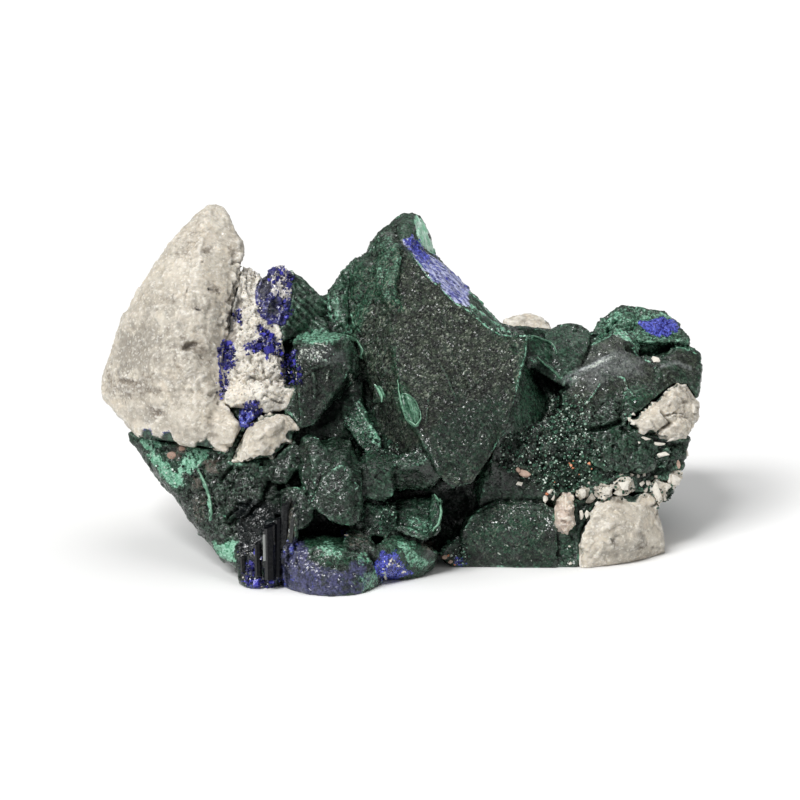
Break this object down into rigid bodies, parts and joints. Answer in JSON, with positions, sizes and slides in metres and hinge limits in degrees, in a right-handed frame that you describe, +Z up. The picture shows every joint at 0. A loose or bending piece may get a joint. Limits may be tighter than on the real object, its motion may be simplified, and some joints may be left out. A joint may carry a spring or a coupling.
{
  "type": "malachite pseudomorph specimen",
  "caption": "Fused cluster of blocky dark green malachite crystals after azurite, with pale matrix blocks and blue azurite, resting on its broad flat base.",
  "frame": {"origin": "middle of the box's underside, on the surface the specimen rests on", "axes": "+Z up, +X to the right along the specimen's length as seen from its display side, which faces -Y"},
  "size_m": [0.0814, 0.0484, 0.0461],
  "materials": {
    "malachite": "finely granular, satin, dark green with paler edges",
    "azurite": "deep indigo, glassy on broken faces",
    "matrix": "matt, sugary, warm white",
    "pink_matrix": "matt, granular, pinkish white"
  },
  "bodies": {
    "root": {"malachite_cluster": "malachite", "azurite_crystal": "azurite", "matrix_block_left": "matrix", "matrix_granular_left": "matrix", "matrix_lobe_left": "matrix", "matrix_lump_back": "matrix", "matrix_wedge_right": "matrix", "matrix_block_right": "matrix", "matrix_chunk_pink": "pink_matrix", "matrix_chip_one": "matrix", "matrix_chip_two": "matrix", "matrix_chip_three": "matrix", "matrix_chip_four": "matrix", "matrix_chip_five": "matrix"}
  },
  "joints": []
}
